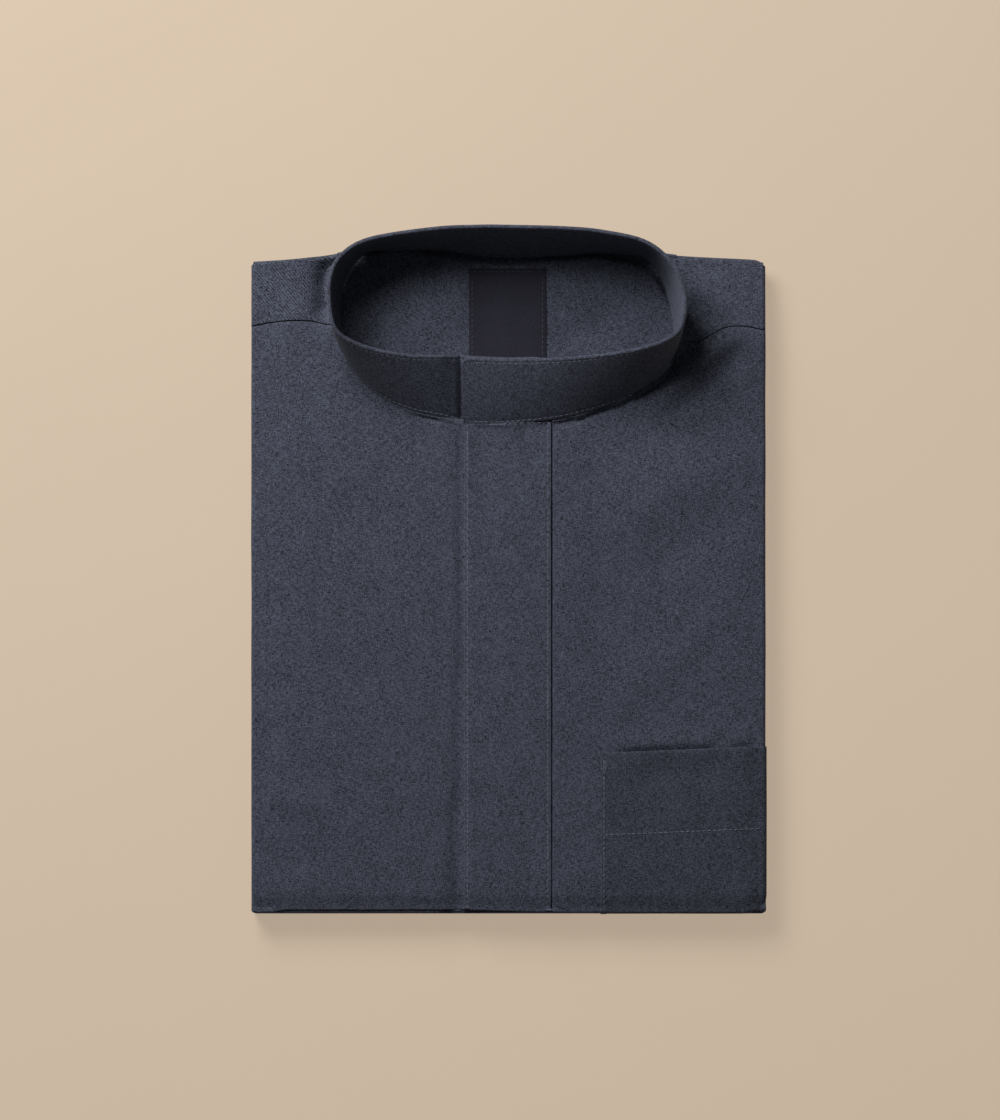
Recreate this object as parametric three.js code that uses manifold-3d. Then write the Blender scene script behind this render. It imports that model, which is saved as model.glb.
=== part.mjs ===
// A thobe robe, folded flat as it lies on a shop counter: the chest on top, its skirt folded
// under it in four layers, and its stiff standing collar propped open.
// Millimetres, +Z up, +Y from the foot fold to the collar, +X towards the pocket.
import * as THREE from 'three';
import Module from 'manifold-3d';

const wasm = await Module();
wasm.setup();

// Driving sizes
const HALF_WIDTH = 129;        // half the width of the folded pile
const FOOT_Y = -172;           // the lowest fold
const HEAD_Y = 155.2;          // the fold over the shoulders
const PILE_HEIGHT = 18;        // the table to the top of the chest
const GAP = 0.3;               // between two pieces at a seam
const CLOTH = 1.2;             // wall of a single piece, with its seam allowance
const POCKET_CLOTH = 1;
const BAND_CLOTH = 2;          // interlined collar band
const BAND_HEIGHT = 36.5;

// Folds round the edges of the chest
const SIDE_RADIUS = 2.6;
const SIDE_WRAP = rad(105);
const FOOT_RADIUS = 4.5;
const FOOT_WRAP = rad(120);
const HEAD_RADIUS = 4;
const HEAD_WRAP = rad(105);
const FOOT_FOLD_Y = FOOT_Y + 2.8;    // the chest's fold stops short of the skirt's fold under it

// Where the pieces meet
const UNDERLAP_X = 15;         // the right front goes on under the placket to here
const PLACKET = { left: -22.5, right: 21.5 };
const UNDER_BAND = 3;          // the placket stops short of the band's seam
const POCKET = { left: 46, mouthLeft: -91.4, mouthRight: -87.9 };
const LABEL = { left: -20, right: 18.5, low: 100, high: 151 };
const POCKET_SIDE_X = HALF_WIDTH - GAP - POCKET_CLOTH;   // so that the pocket ends at the width

// Shape of the top of the pile
const SIDE_FALL = { reach: 24, drop: 1.5 };
const FOOT_FALL = { reach: 30, drop: 1.2 };
const HEAD_FALL = { start: 112, drop: 4.3 };
const SEAM_LIFT = { reach: 34, height: 1.5 };     // the left front rises to the placket's seam
const BACK = { level: 10.2, crown: 2.3, halfWidth: 80 };  // the back yoke seen in the neck

// The largest soft folds of the chest: a line, its half width and its height (minus is a hollow)
const FOLDS = [
  { name: 'left shoulder hollow', x1: -95, y1: 154, x2: -97, y2: 130, width: 5, height: -2.0 },
  { name: 'right neck hollow', x1: 88, y1: 111, x2: 68, y2: 86, width: 6, height: -2.2 },
  { name: 'right shoulder ridge', x1: 116, y1: 116, x2: 66, y2: 79, width: 8, height: 1.6 },
  { name: 'right shoulder dip', x1: 99, y1: 126, x2: 93, y2: 140, width: 7, height: -1.0 },
  { name: 'chest swell', x1: 40, y1: 20, x2: 118, y2: 62, width: 28, height: 0.9 },
];

// Top edge of the two fronts, from the side fold along the shoulder seam and round the neck
const RIGHT_FRONT_TOP = [
  { x: -129, y: 121.6 }, { x: -107, y: 124.6 }, { x: -92, y: 122.6 }, { x: -85.8, y: 122 },
  { x: -84.2, y: 112 }, { x: -77, y: 98.5 }, { x: -64.5, y: 87 }, { x: -49.5, y: 80 },
  { x: -34.5, y: 76.6 }, { x: -22, y: 75.6 }, { x: 15, y: 74.4 }, { x: 20, y: 74.4 },
];
const LEFT_FRONT_TOP = [
  { x: 15, y: 74.4 }, { x: 20, y: 74.6 }, { x: 35.5, y: 78 }, { x: 55.5, y: 84.6 }, { x: 73, y: 95 },
  { x: 82, y: 105 }, { x: 84, y: 114.4 }, { x: 94, y: 114.1 }, { x: 101.5, y: 117.6 },
  { x: 106.5, y: 120.6 }, { x: 115.5, y: 121.6 }, { x: 129, y: 119.6 },
];
// Edge of the back yoke behind the neck, where the band is sewn on
const BACK_EDGE = [
  { x: -92, y: 157.6 }, { x: -80, y: 161 }, { x: -67, y: 163.6 }, { x: -34.5, y: 162 },
  { x: -14.5, y: 158.4 }, { x: 0, y: 156.8 }, { x: 25, y: 157.8 }, { x: 45, y: 160.2 },
  { x: 62, y: 161 }, { x: 78, y: 159.6 }, { x: 92, y: 156.8 },
];
// Shoulder fold: it rises towards the neck
const HEAD_EDGE = [
  { x: -129, y: 154.4 }, { x: -112, y: 155.4 }, { x: -99, y: 156.8 }, { x: -90, y: 159 },
  { x: -82, y: 161.6 }, { x: 78, y: 160.4 }, { x: 86, y: 158 }, { x: 99, y: 156.6 },
  { x: 116, y: 155.8 }, { x: 129, y: 154.2 },
];

// The band, from its under end round the neck to its over end: the seam's place and height,
// the rim over it, and how far that part lies inside the over end.
const BAND = [
  { x: 18, y: 78.5, z: 19.6, rimX: 16, rimY: 107.6, inset: 2.5 },
  { x: 0, y: 78, z: 19.6, rimX: -2, rimY: 107.6, inset: 2.5 },
  { x: -22, y: 77.4, z: 20, rimX: -22.5, rimY: 108, inset: 2.2 },
  { x: -34.5, y: 77, z: 20.3, rimX: -36, rimY: 106.4, inset: 1 },
  { x: -49.5, y: 80, z: 20.3, rimX: -52, rimY: 107, inset: 0 },
  { x: -64.5, y: 87, z: 20.2, rimX: -69.5, rimY: 110, inset: 0 },
  { x: -77, y: 98.5, z: 19.8, rimX: -82, rimY: 115, inset: 0 },
  { x: -84.2, y: 112, z: 19.2, rimX: -88.2, rimY: 121.6, inset: 0 },
  { x: -85.8, y: 126, z: 18.6, rimX: -90.4, rimY: 134, inset: 0 },
  { x: -84.8, y: 141, z: 17.4, rimX: -89.6, rimY: 146.6, inset: 0 },
  { x: -79.6, y: 153, z: 16, rimX: -84, rimY: 157.4, inset: 0 },
  { x: -67, y: 161, z: 13.4, rimX: -69.5, rimY: 165.6, inset: 0 },
  { x: -34.5, y: 160, z: 13.8, rimX: -37, rimY: 171, inset: 0 },
  { x: -14.5, y: 156.8, z: 13.8, rimX: -16, rimY: 172, inset: 0 },
  { x: 0.5, y: 155.4, z: 13.8, rimX: 0, rimY: 172, inset: 0 },
  { x: 25.5, y: 156.4, z: 13.8, rimX: 26, rimY: 171.4, inset: 0 },
  { x: 45, y: 158.6, z: 13.6, rimX: 47, rimY: 169.4, inset: 0 },
  { x: 66, y: 157.6, z: 13.8, rimX: 68.6, rimY: 164, inset: 0 },
  { x: 76.4, y: 149, z: 16, rimX: 82.4, rimY: 152.4, inset: 0 },
  { x: 81.6, y: 135, z: 17.6, rimX: 88.2, rimY: 138.6, inset: 0 },
  { x: 84, y: 119, z: 18.4, rimX: 88, rimY: 125.6, inset: 0 },
  { x: 82, y: 106, z: 18.8, rimX: 83.4, rimY: 117, inset: 0 },
  { x: 73, y: 95, z: 19.4, rimX: 70, rimY: 111, inset: 0 },
  { x: 55.5, y: 84.6, z: 20.6, rimX: 52, rimY: 107.4, inset: 0 },
  { x: 35.5, y: 78, z: 20.6, rimX: 32, rimY: 105.6, inset: 0 },
  { x: 18, y: 74.6, z: 20.6, rimX: 16, rimY: 105, inset: 0 },
  { x: -4.5, y: 72.6, z: 20.6, rimX: -6, rimY: 105, inset: 0 },
  { x: -22.8, y: 73, z: 20.6, rimX: -23, rimY: 106, inset: 0 },
];
const BAND_STEPS = 64;
const BAND_ROWS = 4;
const BAND_BOW = 0.8;          // how far the band's middle bows outwards

// Edges of the folded layers under the chest: each row is a level of the pile and how far the
// edge stands in from the pile's box on the sides, at the foot fold and at the head.
const LAYER_EDGES = [
  { z: 0, side: 3.4, foot: 3.6, head: 6 },
  { z: 0.8, side: 1.8, foot: 1.4, head: 4.4 },
  { z: 2.2, side: 1.2, foot: 0.2, head: 3.8 },
  { z: 3.8, side: 1.8, foot: 0, head: 4.2 },
  { z: 4.4, side: 3.8, foot: 0, head: 5.4 },
  { z: 5, side: 2.2, foot: 0, head: 4 },
  { z: 6.6, side: 1.6, foot: 0.6, head: 3.4 },
  { z: 8, side: 2.4, foot: 2.2, head: 3.8 },
  { z: 8.6, side: 4, foot: 4.4, head: 5.2 },
  { z: 9.2, side: 2.4, foot: 4.2, head: 5 },
  { z: 10.6, side: 1.8, foot: 3.8, head: 5 },
  { z: 11.8, side: 2.4, foot: 3.8, head: 5 },
  { z: 12.4, side: 4, foot: 3.8, head: 5 },
  { z: 18, side: 4, foot: 6, head: 5 },
];
const LAYER_CORNER = 7;
const LAYER_CORNER_STEPS = 4;
const LAYER_TOP_INSETS = [22, 60, 100];

const COLORS = { cloth: 0x3e414d, label: 0x2a2b35, layers: 0x373a45 };

function rad(degrees) {
  return degrees * Math.PI / 180;
}

function spaced(from, to, steps) {
  return Array.from({ length: steps + 1 }, (_, i) => from + (to - from) * i / steps);
}

// Straight lines between a table's rows, by x.
function along(rows, x) {
  const next = rows.findIndex((row) => row.x > x);
  if (next === 0) return rows[0].y;
  if (next < 0) return rows.at(-1).y;
  const [a, b] = [rows[next - 1], rows[next]];
  return a.y + (b.y - a.y) * (x - a.x) / (b.x - a.x);
}

// 0 at the start of a slope and 1 at its end, level at both.
function ease(t) {
  const u = Math.min(1, Math.max(0, t));
  return u * u * (3 - 2 * u);
}

function foldHeight(fold, x, y) {
  const [dx, dy] = [fold.x2 - fold.x1, fold.y2 - fold.y1];
  const t = ((x - fold.x1) * dx + (y - fold.y1) * dy) / (dx * dx + dy * dy);
  const nearest = Math.min(1, Math.max(0, t));
  const away = Math.hypot(x - fold.x1 - nearest * dx, y - fold.y1 - nearest * dy);
  return fold.height * Math.exp(-((away / fold.width) ** 2));
}

// Height of the chest's outer face.
function topHeight(x, y) {
  const inwards = HALF_WIDTH - SIDE_RADIUS - Math.abs(x);
  const side = ease(1 - inwards / SIDE_FALL.reach) * SIDE_FALL.drop;
  const foot = ease(1 - (y - FOOT_FOLD_Y) / FOOT_FALL.reach) * FOOT_FALL.drop;
  const head = ease((y - HEAD_FALL.start) / (HEAD_Y - HEAD_FALL.start)) * HEAD_FALL.drop;
  const folds = FOLDS.reduce((sum, fold) => sum + foldHeight(fold, x, y), 0);
  return PILE_HEIGHT - side - foot - head + folds;
}

function seamLift(x) {
  return SEAM_LIFT.height * ease(1 - (x - PLACKET.right) / SEAM_LIFT.reach);
}

// Height of the back yoke's inner face, seen through the neck.
function backHeight(x) {
  const across = Math.min(1, Math.abs(x) / BACK.halfWidth);
  return BACK.level + BACK.crown * Math.cos(across * Math.PI / 2) ** 2;
}

// A closed wall between two grids of points of one size. The first grid is the outer face,
// with its columns running +X and its rows +Y as seen from outside.
function wall(outer, inner) {
  const [rows, columns] = [outer.length, outer[0].length];
  const at = (face, i, j) => (face * rows + i) * columns + j;
  const index = [];
  const quad = (a, b, c, d) => index.push(a, b, c, a, c, d);
  for (let i = 0; i < rows - 1; i += 1) {
    for (let j = 0; j < columns - 1; j += 1) {
      quad(at(0, i, j), at(0, i, j + 1), at(0, i + 1, j + 1), at(0, i + 1, j));
      quad(at(1, i, j), at(1, i + 1, j), at(1, i + 1, j + 1), at(1, i, j + 1));
    }
    quad(at(0, i, 0), at(0, i + 1, 0), at(1, i + 1, 0), at(1, i, 0));
    quad(at(0, i, columns - 1), at(1, i, columns - 1), at(1, i + 1, columns - 1),
      at(0, i + 1, columns - 1));
  }
  for (let j = 0; j < columns - 1; j += 1) {
    quad(at(0, 0, j), at(1, 0, j), at(1, 0, j + 1), at(0, 0, j + 1));
    quad(at(0, rows - 1, j), at(0, rows - 1, j + 1), at(1, rows - 1, j + 1), at(1, rows - 1, j));
  }
  return toGeometry([outer, inner].flat(3), index);
}

function toGeometry(positions, index) {
  const geometry = new THREE.BufferGeometry();
  geometry.setAttribute('position', new THREE.Float32BufferAttribute(positions, 3));
  geometry.setIndex(index);
  return geometry;
}

function toManifold(geometry) {
  return new wasm.Manifold(new wasm.Mesh({
    numProp: 3,
    vertProperties: new Float32Array(geometry.attributes.position.array),
    triVerts: new Uint32Array(geometry.index.array),
  }));
}

function fromManifold(solid) {
  const mesh = solid.getMesh();
  return toGeometry(Array.from(mesh.vertProperties), Array.from(mesh.triVerts));
}

// Stations across a panel that ends in a side fold. Each has its x, how deep it lies under
// the panel's outer face, and the x at which the pile's height is read.
function sectionTo(edge, columns, lay, wrap) {
  const sign = Math.sign(edge);
  const bend = edge - sign * SIDE_RADIUS;
  const radius = SIDE_RADIUS - lay;
  const flat = columns.map((x) => ({ x, depth: lay, over: x }));
  const arc = spaced(0, wrap, 4).map((angle) => ({
    x: bend + sign * radius * Math.sin(angle),
    depth: SIDE_RADIUS - radius * Math.cos(angle),
    over: bend,
  }));
  const all = flat.concat(arc);
  return sign < 0 ? all.reverse() : all;
}

// Rows up a front: round the foot fold, then along the top to the panel's upper edge.
function frontFace({ section, top, wrap, rows, lift = () => 0 }) {
  const yBend = FOOT_FOLD_Y + FOOT_RADIUS;
  const round = spaced(wrap, 0, 5).slice(0, -1).map((angle) => section.map((s) => {
    const radius = FOOT_RADIUS - s.depth;
    const centre = topHeight(s.over, yBend) + lift(s.over) - FOOT_RADIUS;
    return [s.x, yBend - radius * Math.sin(angle), centre + radius * Math.cos(angle)];
  }));
  const flat = rows.map((v) => section.map((s) => {
    const y = yBend + v * (top(s.over) - yBend);
    return [s.x, y, topHeight(s.over, y) + lift(s.over) - s.depth];
  }));
  return round.concat(flat);
}

// Rows up a shoulder: from its seam along the top, then round the fold at the head.
function shoulderFace({ section, seam, wrap, steps }) {
  const bendAt = (s) => along(HEAD_EDGE, s.over) - HEAD_RADIUS;
  const flat = spaced(0, 1, steps).map((v) => section.map((s) => {
    const y = seam(s.over) + v * (bendAt(s) - seam(s.over));
    return [s.x, y, topHeight(s.over, y) - s.depth];
  }));
  const round = spaced(0, wrap, 4).slice(1).map((angle) => section.map((s) => {
    const radius = HEAD_RADIUS - s.depth;
    const centre = topHeight(s.over, bendAt(s)) - HEAD_RADIUS;
    return [s.x, bendAt(s) + radius * Math.sin(angle), centre + radius * Math.cos(angle)];
  }));
  return flat.concat(round);
}

const FRONT_ROWS = spaced(0, 1, 13).map((t) => 1 - (1 - t) ** 1.5);
const OUTSIDE = -2;            // how far over a panel its cutter reaches
const CUT_PAST = 1;            // how far past a panel's edges its cutter reaches
const CUT_ROUND = rad(8);      // and round the end of a fold

// Every panel is made twice: as cloth, and as the cutter that keeps the layers clear of it.
function frontPieces({ edge, columns, cutColumns, table, lift = () => 0 }) {
  const face = (lay, cut) => frontFace({
    section: sectionTo(edge, cut ? cutColumns : columns, lay, SIDE_WRAP + (cut ? CUT_ROUND : 0)),
    top: (x) => along(table, x) + (cut ? CUT_PAST : 0),
    wrap: FOOT_WRAP + (cut ? CUT_ROUND : 0),
    rows: FRONT_ROWS,
    lift,
  });
  return {
    cloth: wall(face(0, false), face(CLOTH, false)),
    cutter: wall(face(OUTSIDE, true), face(CLOTH + GAP, true)),
  };
}

function shoulderPieces({ edge, columns, cutColumns, table }) {
  const neckX = Math.abs(columns[1]);
  const face = (lay, cut) => shoulderFace({
    section: sectionTo(edge, cut ? cutColumns : columns, lay, SIDE_WRAP + (cut ? CUT_ROUND : 0)),
    seam: (x) => along(table, x - Math.sign(x) * Math.min(0, Math.abs(x) - neckX)) + GAP
      - (cut ? CUT_PAST : 0),
    wrap: HEAD_WRAP + (cut ? CUT_ROUND : 0),
    steps: 5,
  });
  return {
    cloth: wall(face(0, false), face(CLOTH, false)),
    cutter: wall(face(OUTSIDE, true), face(CLOTH + GAP, true)),
  };
}

// Columns that a front shares with its shoulder, so that their seam lines match
const RIGHT_SHOULDER_COLUMNS = [-85.8, -92, -97, -102, -107, -113, -120];
const LEFT_SHOULDER_COLUMNS = [84, 89, 94, 98, 101.5, 106.5, 115.5];
const RIGHT_NECK_COLUMNS = [-3, -22, -34.5, -49.5, -64.5, -77, -81, -84.2];
const LEFT_NECK_COLUMNS = [35.5, 46, 55.5, 64, 73, 82];
const SHOULDER_NECK_X = 81.5;    // the shoulders go in under the band to here
const CUTTER_NECK_X = 80;

const rightFront = frontPieces({
  edge: -HALF_WIDTH,
  columns: [UNDERLAP_X, ...RIGHT_NECK_COLUMNS, ...RIGHT_SHOULDER_COLUMNS],
  cutColumns: [PLACKET.right - 1, ...RIGHT_NECK_COLUMNS, ...RIGHT_SHOULDER_COLUMNS],
  table: RIGHT_FRONT_TOP,
});
const leftFront = frontPieces({
  edge: POCKET_SIDE_X,
  columns: [PLACKET.right + GAP, ...LEFT_NECK_COLUMNS, ...LEFT_SHOULDER_COLUMNS],
  cutColumns: [UNDERLAP_X + 2, ...LEFT_NECK_COLUMNS, ...LEFT_SHOULDER_COLUMNS],
  table: LEFT_FRONT_TOP,
  lift: seamLift,
});
const rightShoulder = shoulderPieces({
  edge: -HALF_WIDTH,
  columns: [-SHOULDER_NECK_X, ...RIGHT_SHOULDER_COLUMNS],
  cutColumns: [-CUTTER_NECK_X, ...RIGHT_SHOULDER_COLUMNS],
  table: RIGHT_FRONT_TOP,
});
const leftShoulder = shoulderPieces({
  edge: POCKET_SIDE_X,
  columns: [SHOULDER_NECK_X, ...LEFT_SHOULDER_COLUMNS],
  cutColumns: [CUTTER_NECK_X, ...LEFT_SHOULDER_COLUMNS],
  table: LEFT_FRONT_TOP,
});

// The back of the yoke, under the neck, from beneath the fronts to the band's seam.
const BACK_REACH = 91;         // how far it goes sideways, into the shoulders' folds
const UNDER_FRONTS = 7;        // how far the back yoke goes on under the fronts
const NECK_HOLLOW = 13;        // and how far the hollow round it does
const YOKE_EDGE = 0.6;         // the yoke's edge stands in from the band's seam
const ABOVE_PILE = 40;         // a level clear above the pile
const PAST_HEAD = HEAD_Y + 25; // and a place clear behind it
const LABEL_CLOTH = 1;

function frontEdge(x) {
  return along(x < UNDERLAP_X ? RIGHT_FRONT_TOP : LEFT_FRONT_TOP, x);
}

function backFace(halfWidth, columns, steps, low, high, height) {
  const xs = spaced(-halfWidth, halfWidth, columns);
  return spaced(0, 1, steps).map((v) => xs.map((x) => {
    const y = low(x) + v * (high(x) - low(x));
    return [x, y, height(x)];
  }));
}

function backYoke() {
  const face = (lay) => backFace(BACK_REACH, 18, 5, (x) => frontEdge(x) - UNDER_FRONTS,
    (x) => along(BACK_EDGE, x) - YOKE_EDGE, (x) => backHeight(x) - lay);
  return wall(face(0), face(CLOTH));
}

// The hollow that the neck and the back yoke leave in the layers under them.
function neckCutter() {
  const face = (height) => backFace(BACK_REACH + CUT_PAST, 18, 4, (x) => frontEdge(x) - NECK_HOLLOW,
    () => PAST_HEAD, height);
  return wall(face(() => ABOVE_PILE), face((x) => backHeight(x) - CLOTH - GAP));
}

function yoke() {
  const back = toManifold(backYoke());
  const shoulders = toManifold(rightShoulder.cloth).add(toManifold(leftShoulder.cloth));
  return fromManifold(back.add(shoulders));
}

// Panels sewn on the fronts, made from the fronts' own points and moved out.
function placket() {
  const face = (lay) => frontFace({
    section: spaced(PLACKET.left, PLACKET.right, 4).map((x) => ({ x, depth: lay, over: x })),
    top: (x) => frontEdge(x) - UNDER_BAND,
    wrap: FOOT_WRAP,
    rows: FRONT_ROWS,
  });
  return wall(face(-GAP - CLOTH), face(-GAP));
}

function pocket() {
  const mouth = (x) => {
    const t = (x - POCKET.left) / (POCKET_SIDE_X - POCKET.left);
    return POCKET.mouthLeft + t * (POCKET.mouthRight - POCKET.mouthLeft);
  };
  const face = (lay) => frontFace({
    section: sectionTo(POCKET_SIDE_X, [POCKET.left, 55.5, 64, 73, 82, 94, 106.5, 117], lay, SIDE_WRAP),
    top: mouth,
    wrap: FOOT_WRAP,
    rows: spaced(0, 1, 6),
    lift: seamLift,
  });
  return wall(face(-GAP - POCKET_CLOTH), face(-GAP));
}

function label() {
  const face = (lay) => spaced(LABEL.low, LABEL.high, 3).map((y) =>
    spaced(LABEL.left, LABEL.right, 5).map((x) => [x, y, backHeight(x) + lay]));
  return wall(face(GAP + LABEL_CLOTH), face(GAP));
}

// The band is ruled from its seam to its rim, at its cut height all round.
function collarBand() {
  const seam = new THREE.CatmullRomCurve3(BAND.map((b) => new THREE.Vector3(b.x, b.y, b.z)));
  const rim = new THREE.CatmullRomCurve3(BAND.map((b) => {
    const lean = Math.hypot(b.rimX - b.x, b.rimY - b.y);
    return new THREE.Vector3(b.rimX, b.rimY, b.z + Math.sqrt(BAND_HEIGHT ** 2 - lean ** 2));
  }));
  const inset = new THREE.CatmullRomCurve3(BAND.map((b) => new THREE.Vector3(b.inset, 0, 0)));
  const face = (lay) => spaced(0, 1, BAND_ROWS).map((up) => spaced(0, 1, BAND_STEPS).map((t) => {
    const [low, high] = [seam.getPoint(t), rim.getPoint(t)];
    const tangent = seam.getTangent(t).lerp(rim.getTangent(t), up);
    const outwards = high.clone().sub(low).cross(tangent).normalize();
    const bow = BAND_BOW * Math.sin(up * Math.PI);
    const move = bow - lay - inset.getPoint(t).x;
    return low.lerp(high, up).addScaledVector(outwards, move).toArray();
  }));
  return wall(face(BAND_CLOTH), face(0));
}

// The layers under the chest: rings round the pile, one for each level of their edges.
function layerRing(insets, level) {
  const [right, left] = [HALF_WIDTH - insets.side, insets.side - HALF_WIDTH];
  const [low, high] = [FOOT_Y + insets.foot, HEAD_Y - insets.head];
  const corners = [
    { x: right, y: low, turn: -90 }, { x: right, y: high, turn: 0 },
    { x: left, y: high, turn: 90 }, { x: left, y: low, turn: 180 },
  ];
  return corners.flatMap((corner, k) => {
    const next = corners[(k + 1) % 4];
    const centre = [
      corner.x - Math.sign(corner.x) * LAYER_CORNER,
      corner.y + (k % 3 === 0 ? LAYER_CORNER : -LAYER_CORNER),
    ];
    const round = spaced(0, 90, LAYER_CORNER_STEPS).map((a) => [
      centre[0] + LAYER_CORNER * Math.cos(rad(corner.turn + a)),
      centre[1] + LAYER_CORNER * Math.sin(rad(corner.turn + a)),
    ]);
    const last = round.at(-1);
    const side = spaced(0, 1, 6).slice(1, -1).map((t) => [
      last[0] + t * (k % 2 === 0 ? 0 : next.x - Math.sign(next.x) * LAYER_CORNER - last[0]),
      last[1] + t * (k % 2 === 0 ? next.y - Math.sign(next.y) * LAYER_CORNER - last[1] : 0),
    ]);
    return round.concat(side);
  }).map(([x, y]) => [x, y, level(x, y)]);
}

function foldedLayers() {
  const rings = LAYER_EDGES.map((row) =>
    layerRing(row, (x, y) => row.z * topHeight(x, y) / PILE_HEIGHT));
  LAYER_TOP_INSETS.forEach((inset) =>
    rings.push(layerRing({ side: inset, foot: inset, head: inset }, topHeight)));
  const count = rings[0].length;
  const index = [];
  rings.slice(1).forEach((_, ring) => {
    for (let i = 0; i < count; i += 1) {
      const next = (i + 1) % count;
      const [a, b] = [ring * count + i, ring * count + next];
      index.push(a, b, b + count, a, b + count, a + count);
    }
  });
  const cap = (ring, up) => {
    const outline = rings[ring].map(([x, y]) => new THREE.Vector2(x, y));
    THREE.ShapeUtils.triangulateShape(outline, []).forEach(([a, b, c]) => {
      const corners = up ? [a, b, c] : [a, c, b];
      index.push(...corners.map((k) => ring * count + k));
    });
  };
  cap(0, false);
  cap(rings.length - 1, true);
  const cutters = [rightFront, leftFront, rightShoulder, leftShoulder].map((p) => p.cutter);
  const pile = [...cutters, neckCutter()].reduce(
    (solid, cutter) => solid.subtract(toManifold(cutter)),
    toManifold(toGeometry(rings.flat(2), index)),
  );
  const bodies = pile.decompose();
  return fromManifold(bodies.reduce((big, body) => (body.volume() > big.volume() ? body : big)));
}

function piece(name, geometry, color) {
  geometry.computeVertexNormals();
  const material = new THREE.MeshStandardMaterial({ color, roughness: 0.95, metalness: 0 });
  const mesh = new THREE.Mesh(geometry, material);
  mesh.name = name;
  return mesh;
}

const thobe = new THREE.Group();
thobe.add(
  piece('folded_layers', foldedLayers(), COLORS.layers),
  piece('front_right', rightFront.cloth, COLORS.cloth),
  piece('front_left', leftFront.cloth, COLORS.cloth),
  piece('yoke', yoke(), COLORS.cloth),
  piece('placket', placket(), COLORS.cloth),
  piece('pocket', pocket(), COLORS.cloth),
  piece('collar_band', collarBand(), COLORS.cloth),
  piece('label', label(), COLORS.label),
);

export default thobe;
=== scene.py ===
"""A thobe robe folded flat, chest up, its stiff band collar propped open.

Shapes are worked out in millimetres, in the CAD frame: +X towards the pocket, +Y towards the
collar, +Z up. Cloth is built as closed thin walls over one height field for the chest.
"""
import math

import bpy
import numpy as np
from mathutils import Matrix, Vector, noise


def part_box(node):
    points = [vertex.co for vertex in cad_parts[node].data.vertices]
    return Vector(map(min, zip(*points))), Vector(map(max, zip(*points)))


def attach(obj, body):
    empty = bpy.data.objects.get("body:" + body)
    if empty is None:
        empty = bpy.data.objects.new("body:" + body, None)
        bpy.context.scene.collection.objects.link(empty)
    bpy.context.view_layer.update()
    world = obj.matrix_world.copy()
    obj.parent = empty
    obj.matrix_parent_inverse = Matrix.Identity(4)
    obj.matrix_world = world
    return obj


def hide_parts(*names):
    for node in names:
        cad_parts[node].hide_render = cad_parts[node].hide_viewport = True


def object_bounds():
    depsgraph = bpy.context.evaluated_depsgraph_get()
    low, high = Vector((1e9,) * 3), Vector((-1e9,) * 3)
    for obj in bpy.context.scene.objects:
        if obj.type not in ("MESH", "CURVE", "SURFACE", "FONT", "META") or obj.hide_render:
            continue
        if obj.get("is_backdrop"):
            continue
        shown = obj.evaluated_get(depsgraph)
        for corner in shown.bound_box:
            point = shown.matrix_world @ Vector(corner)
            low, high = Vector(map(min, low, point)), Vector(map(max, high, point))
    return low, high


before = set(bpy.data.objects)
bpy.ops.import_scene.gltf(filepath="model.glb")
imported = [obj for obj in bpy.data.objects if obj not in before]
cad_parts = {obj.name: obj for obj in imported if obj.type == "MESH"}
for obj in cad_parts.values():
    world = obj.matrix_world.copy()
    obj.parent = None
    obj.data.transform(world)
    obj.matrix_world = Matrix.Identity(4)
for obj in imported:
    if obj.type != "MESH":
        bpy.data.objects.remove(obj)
cad_low, cad_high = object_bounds()

MM = 0.001


def node_box(name):
    low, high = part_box(name)
    return np.array(low) / MM, np.array(high) / MM


# ---- sizes, from the frame
ALL_LOW, ALL_HIGH = np.array(cad_low) / MM, np.array(cad_high) / MM
RIGHT_HIGH = node_box("front_right")[1]
PLACKET_LOW, PLACKET_HIGH = node_box("placket")
POCKET_LOW, POCKET_HIGH = node_box("pocket")
LABEL_LOW, LABEL_HIGH = node_box("label")
LAYERS_LOW, LAYERS_HIGH = node_box("folded_layers")

HALF = (ALL_HIGH[0] - ALL_LOW[0]) / 2  # half the width of the pile
FOOT = LAYERS_LOW[1]  # the skirt's fold at the foot
HEAD = LAYERS_HIGH[1] + 3.4  # the fold over the shoulders
PILE = RIGHT_HIGH[2] - 0.4  # top of the CAD's chest, under its highest crease
CHEST = PILE - 0.4  # level of the chest, before its creases
PLACKET_LEFT = PLACKET_LOW[0]
PLACKET_RIGHT = PLACKET_HIGH[0]
POCKET_LEFT = POCKET_LOW[0]
POCKET_RISE = 3.4  # the mouth climbs this much to the side fold
POCKET_TOP = POCKET_HIGH[1]

CLOTH = 0.7  # wall of one layer of suiting
EDGE = 0.6  # radius of a turned and pressed edge
TUCK = 2.4  # width of cloth turned under
LIFT = 1.3  # placket and pocket over the front they lie on
STEP = 1.25  # grid spacing on the fronts
SEAM_GAP = 0.25  # between the placket and the left front
LEFT_SIDE = HALF - 0.6 # the left front's side fold, just inside the pocket's

SIDE_RADIUS = 2.0  # fold down each side of the chest
FOOT_RADIUS = 0.6  # half the height of the chest's fold at the foot
FOOT_REACH = 0.7  # and how far it bulges out
HEAD_RADIUS = 2.0
ROUND_NARROW = 0.006  # share of its width a piece gives up round a fold
CORNER_DEPTH = 0.5  # a side fold's height where it meets the foot fold
FOOT_EDGE_RIGHT = FOOT + 2.1  # the chest's foot fold stops short of the skirt's on this side
FOOT_EDGE_LEFT = FOOT + 0.9  # and nearly covers it on the pocket's side

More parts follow.
